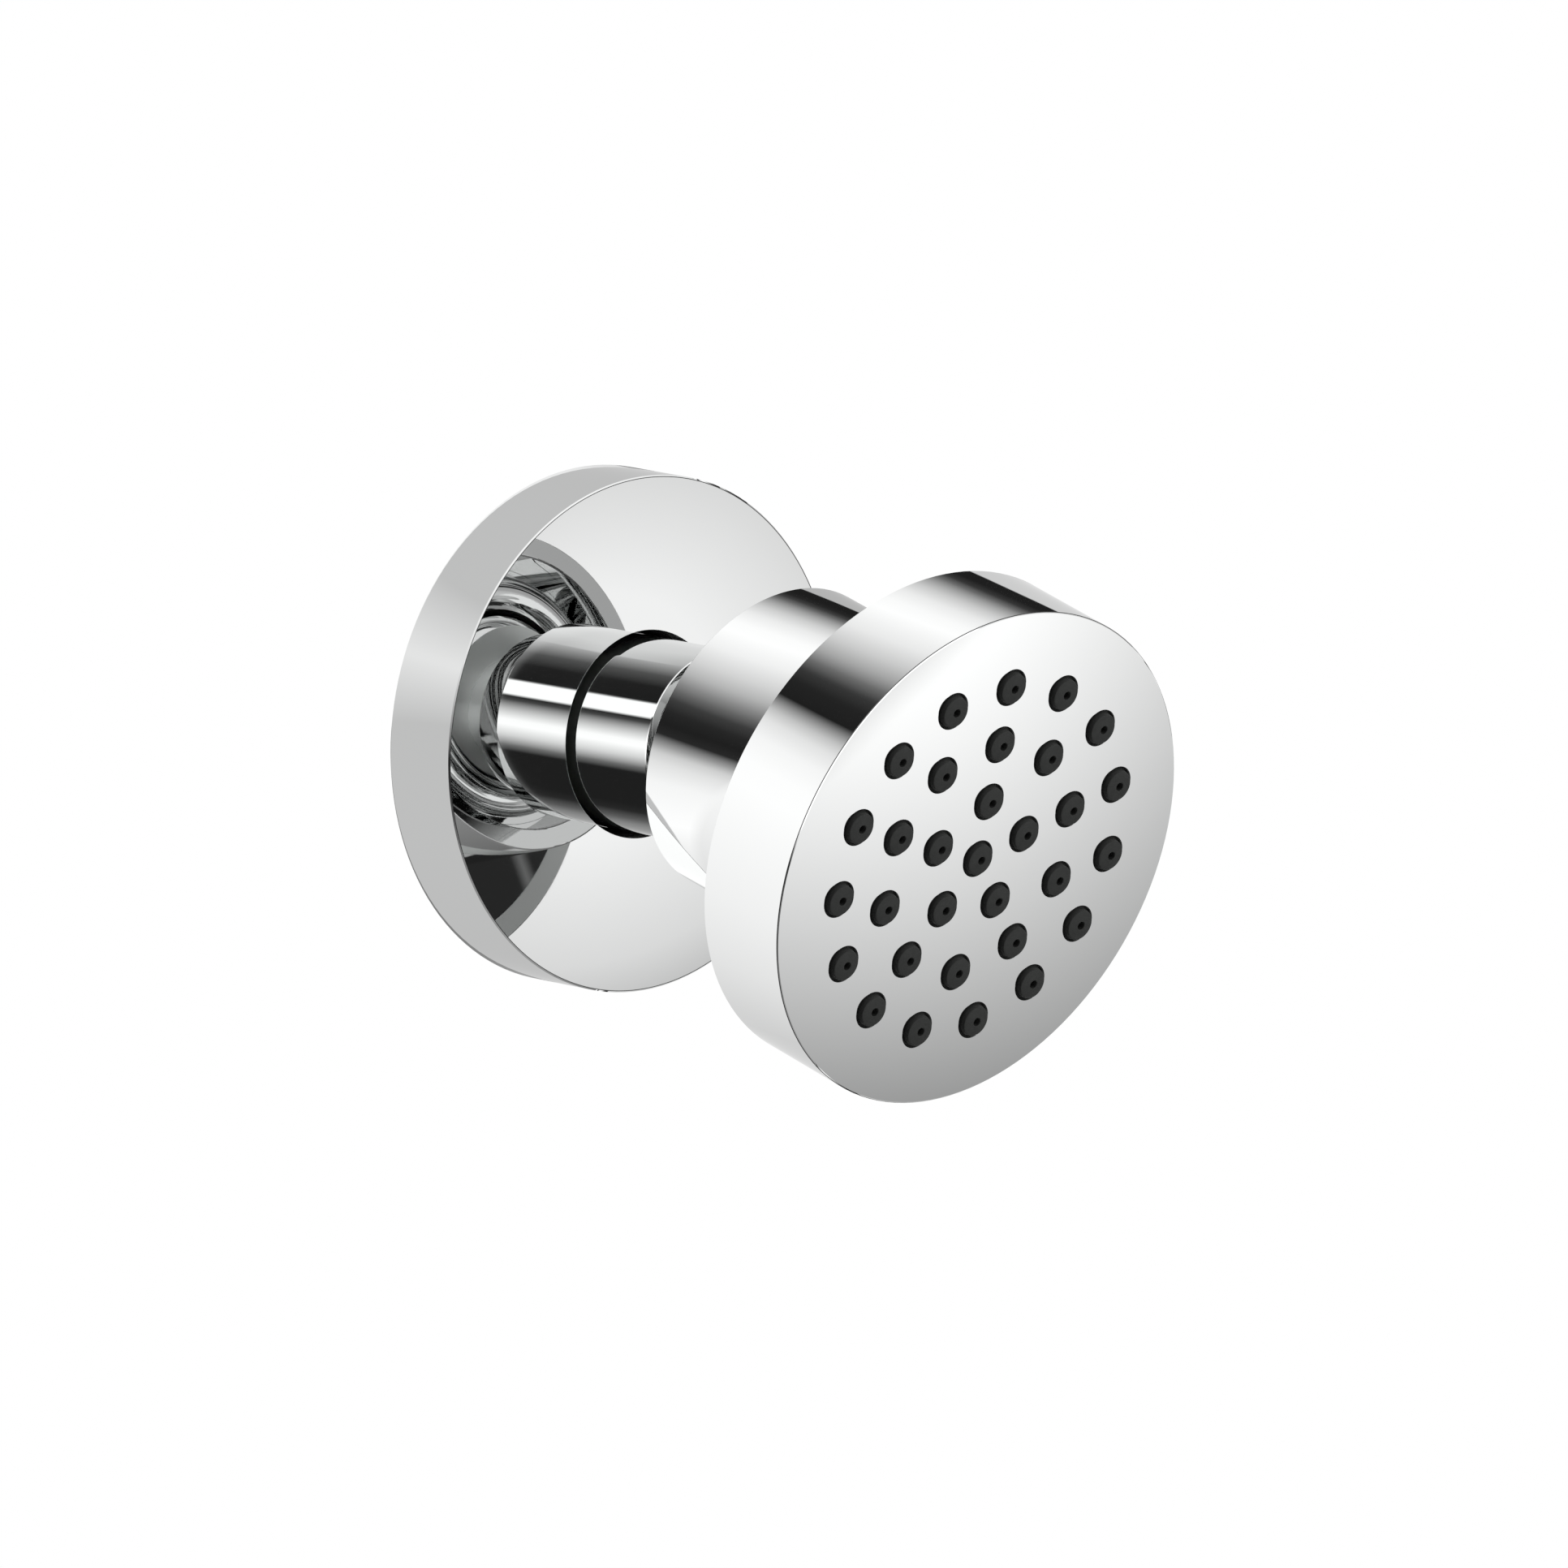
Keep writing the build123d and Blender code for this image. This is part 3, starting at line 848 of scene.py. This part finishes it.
# %% Stripes for the neck
neck_ring = (262 * mm, 335 * mm)
neck_pivot = 270 * mm
neck_lean = 0.1 / mm
neck_bands = [
    (-180, 40), (-168, 30), (-124, 30), (-117, 105), (-105, 211), (-93, 255), (-87, 252), (-76, 192),
    (-70, 142), (-65, 70), (-59.5, 28), (-58.5, 255), (-41.5, 255), (-40.5, 30), (-20, 32), (-3, 80),
    (9, 138), (21, 180), (45, 210), (75, 220), (110, 195), (135, 156), (153, 130), (165, 90), (180, 40),
]


def neck_stripes(tree, x, z):
    leaned = lean(tree, turn_about(tree, x, z), reach_from(tree, x, z), neck_pivot, neck_lean)
    return bands(tree, leaned, neck_bands, mirrors=2)


print("stops for the neck:", len(neck_bands))

# %% [markdown]
# One pool of light on that ring, wider than it is high, is what the rosette's face shows: nearly white,
# and softly darker towards its edge.

# %% A pool for the rosette's face
pool_spot = (256 * mm, -66 * mm)
pool_stretch = 1.35
pool_r = 44 * mm
pool_bands = [(0, 241), (17, 240), (24, 230), (34, 216), (42, 185)]


def with_pool(tree, x, z, ring_light):
    across = calculate(tree, "DIVIDE", calculate(tree, "SUBTRACT", x, pool_spot[0]), pool_stretch)
    reach = reach_from(tree, across, z, (0.0, pool_spot[1]))
    pool = bands(tree, calculate(tree, "DIVIDE", reach, mm), pool_bands)
    return mix_colours(tree, step_up(tree, reach, pool_r, softness=4 * mm), pool, ring_light)


print("pool at", in_mm(pool_spot), "mm")

# %% [markdown]
# Inside the ring the card is white, with a grey panel in its middle. The panel gives both faces a slope
# of grey when they are seen head-on, where plain white would make them look like paper.

# %% A panel for the head-on view
panel_half = 85 * mm
panel_ends = (-190 * mm, 80 * mm)
panel_bands = [
    (-200, 150), (-175, 168), (-140, 215), (-105, 248), (-60, 250), (-30, 190), (30, 240), (80, 255),
]


def panel_on_white(tree, x, z):
    panel = bands(tree, calculate(tree, "DIVIDE", z, mm), panel_bands)
    beside = step_up(tree, calculate(tree, "ABSOLUTE", x), panel_half, softness=40 * mm)
    below = step_down(tree, z, panel_ends[0], softness=20 * mm)
    above = step_up(tree, z, panel_ends[1], softness=30 * mm)
    off_panel = calculate(tree, "MAXIMUM", beside, calculate(tree, "MAXIMUM", below, above))
    white = card_light(print_white, mirrors=2)
    return mix_colours(tree, off_panel, panel, (white, white, white, 1))


print("panel width and height in mm:", in_mm((2 * panel_half, panel_ends[1] - panel_ends[0])))

# %% [markdown]
# Outside the ring a round patch darkens downwards and to the right: that is the slope of grey on the
# spray face in the photograph. Bands would show as stripes on a flat mirror, so the brightness is a
# plane, twisted and bent a little, that is worked out at each point.

# %% A slope of grey for the spray face
slope_spot = (299 * mm, -233 * mm)
slope_r = 75 * mm
slope_unit = 10 * mm
slope_middle = 221.0
slope_darkest = 110.0
slope_up = 10.1
slope_across = -3.9
slope_twist = -1.5
slope_bend = -1.1


def grey(tree, level):
    return add_node(tree, "ShaderNodeCombineColor", {0: level, 1: level, 2: level}).outputs[0]


def card_light_from(tree, brightness):
    share = calculate(tree, "ADD", brightness, print_foot)
    share = calculate(tree, "DIVIDE", share, print_white + print_foot)
    light = calculate(tree, "POWER", share, print_curve)
    return grey(tree, calculate(tree, "DIVIDE", light, chrome_share))


def spray_face_slope(tree, x, z):
    across = calculate(tree, "DIVIDE", calculate(tree, "SUBTRACT", x, slope_spot[0]), slope_unit)
    up = calculate(tree, "DIVIDE", calculate(tree, "SUBTRACT", z, slope_spot[1]), slope_unit)
    twist = calculate(tree, "MULTIPLY", across, up)
    bend = calculate(tree, "ADD", squared(tree, across), squared(tree, up))
    level = slope_middle
    for part, rate in [(up, slope_up), (across, slope_across), (twist, slope_twist), (bend, slope_bend)]:
        level = calculate(tree, "ADD", calculate(tree, "MULTIPLY", part, rate), level)
    level = calculate(tree, "MAXIMUM", level, slope_darkest)
    return card_light_from(tree, calculate(tree, "MINIMUM", level, print_white))


print("slope at", in_mm(slope_spot), "mm")

# %% [markdown]
# The rest of the card in front is a studio as any side of the object sees it: bright above, a dark line
# at the horizon, grey below. The zones are laid over one another from the middle outwards.

# %% The card in front
front_y = -300 * mm
card_middle_r = 0.1 * mm
tent_r = 1250 * mm
tent_bands = [
    (-180, 150), (-140, 125), (-116, 60), (-100, 34), (-84, 150), (-60, 225), (-20, 245), (20, 245),
    (60, 225), (84, 150), (100, 34), (116, 60), (140, 125), (180, 150),
]


def tent_paint(tree, x, z):
    return bands(tree, turn_about(tree, x, z), tent_bands)


def front_paint(tree, x, z):
    reach = reach_from(tree, x, z)
    ring_start = step_up(tree, reach, neck_ring[0], softness=16 * mm)
    ring_end = step_up(tree, reach, neck_ring[1], softness=12 * mm)
    middle = mix_colours(tree, ring_start, panel_on_white(tree, x, z), neck_stripes(tree, x, z))
    middle = with_pool(tree, x, z, middle)
    off_slope = step_up(tree, reach_from(tree, x, z, slope_spot), slope_r, softness=30 * mm)
    outside = mix_colours(tree, off_slope, spray_face_slope(tree, x, z), tent_paint(tree, x, z))
    return mix_colours(tree, ring_end, middle, outside)


front_card = card_between("front_card", (card_middle_r, front_y), (tent_r, front_y), front_paint)
print("made", front_card.name, "at y in mm:", in_mm((front_y,)))

# %% [markdown]
# Seen from the side or from behind, the chrome looks past both cards. A wide tube round the object, with
# the same bands, and a card behind the wall close the tent. Mirrors that face each other need a few more
# bounces than usual, and the light that mirrors throw on other pieces is left out, because it only adds
# specks.

# %% The rest of the tent
tent_back = 700 * mm
rear_bands = [(-900, 110), (-250, 150), (-120, 60), (-60, 60), (0, 205), (300, 235), (900, 245)]


def rear_paint(tree, x, z):
    return bands(tree, calculate(tree, "DIVIDE", z, mm), rear_bands)


tent_tube = card_between("tent_tube", (tent_r, front_y), (tent_r, tent_back), tent_paint)
rear_card = card_between("rear_card", (card_middle_r, tent_back), (tent_r, tent_back), rear_paint)
bpy.context.scene.cycles.glossy_bounces = 10
bpy.context.scene.cycles.caustics_reflective = False
print("made", tent_tube.name, "and", rear_card.name)

# %% [markdown]
# The background of the photograph is pure white, with no shadow in the frame. The world gives white to
# the camera and to mirror rays, and an even, weaker light to everything else.

# %% World
world = bpy.data.worlds.new("white_studio")
bpy.context.scene.world = world
world.use_nodes = True
tree = world.node_tree
tree.nodes.clear()
path = add_node(tree, "ShaderNodeLightPath").outputs
seen = calculate(tree, "MAXIMUM", path["Is Camera Ray"], path["Is Glossy Ray"])
seen = calculate(tree, "MAXIMUM", seen, path["Is Transmission Ray"])
soft_light = add_node(tree, "ShaderNodeBackground", {"Color": (1, 1, 1, 1), "Strength": 0.2})
white_paper = add_node(tree, "ShaderNodeBackground", {"Color": (1, 1, 1, 1), "Strength": 1.0})
sky = add_node(tree, "ShaderNodeMixShader", {0: seen, 1: soft_light.outputs[0], 2: white_paper.outputs[0]})
add_node(tree, "ShaderNodeOutputWorld", {"Surface": sky.outputs[0]})
print("made", world.name)

# %% [markdown]
# Two wide soft lamps give the rubber, the plastic and the floor a direction of light. The one in front is
# the stronger, so that the nubs' crowns are lighter than their sides. Mirror rays don't see the lamps,
# because the cards already are what the chrome shows.

# %% Lamps
def soft_lamp(name, place, width, watts):
    lamp = bpy.data.lights.new(name, "AREA")
    lamp.size = width
    lamp.energy = watts
    stand = bpy.data.objects.new(name, lamp)
    stand.location = place
    stand.rotation_euler = (ball_centre - Vector(place)).to_track_quat("-Z", "Y").to_euler()
    stand.visible_glossy = False
    bpy.context.collection.objects.link(stand)
    return stand


front_lamp = soft_lamp("front_lamp", place=(0.5, -1.3, 0.3), width=0.8, watts=8.5)
top_lamp = soft_lamp("top_lamp", place=(0.4, -0.6, 1.4), width=1.0, watts=2.5)
print("lamps:", front_lamp.name, top_lamp.name)

# %% [markdown]
# The floor is painted board, pale and matt, with a faint mottle. It keeps the object's soft shadow. For
# the camera it glows a little, because the lamps are set for the object and leave it grey, and towards
# its edge it goes over into the white of the background, so that no edge shows.

# %% Painted board
floor_clear = (250 * mm, 900 * mm)
floor_glow = 0.45
painted_board, tree = new_finish("painted_board")
place = add_node(tree, "ShaderNodeNewGeometry").outputs["Position"]
mottle = noise(tree, place, scale=35.0, detail=4.0)
tone = grey(tree, to_range(tree, mottle, low=0.86, high=0.9))
board = add_node(tree, "ShaderNodeBsdfDiffuse", {"Color": tone}).outputs[0]
paper = add_node(tree, "ShaderNodeEmission", {"Color": (1, 1, 1, 1)}).outputs[0]
parts = add_node(tree, "ShaderNodeSeparateXYZ", {"Vector": place}).outputs
reach = reach_from(tree, parts["X"], parts["Y"])
glow = to_range(tree, reach, low=floor_glow, high=1.0, start=floor_clear[0], end=floor_clear[1])
glow = calculate(tree, "MULTIPLY", glow, add_node(tree, "ShaderNodeLightPath").outputs["Is Camera Ray"])
end_finish(tree, add_node(tree, "ShaderNodeMixShader", {0: glow, 1: board, 2: paper}))
print("made", painted_board.name)

# %% [markdown]
# The floor lies well below, as under a piece held on a stand, so it stays out of the photograph's frame.
# A plain disc is enough for it, because its edge is never seen.

# %% Floor
floor_z = -300 * mm
floor_r = 1000 * mm
form = bmesh.new()
bmesh.ops.create_circle(form, cap_ends=True, segments=128, radius=floor_r)
floor = finish_mesh(form, "floor", painted_board)
floor.location = (0, 0, floor_z)
floor.visible_glossy = False
print("floor at z in mm:", in_mm((floor_z,)))
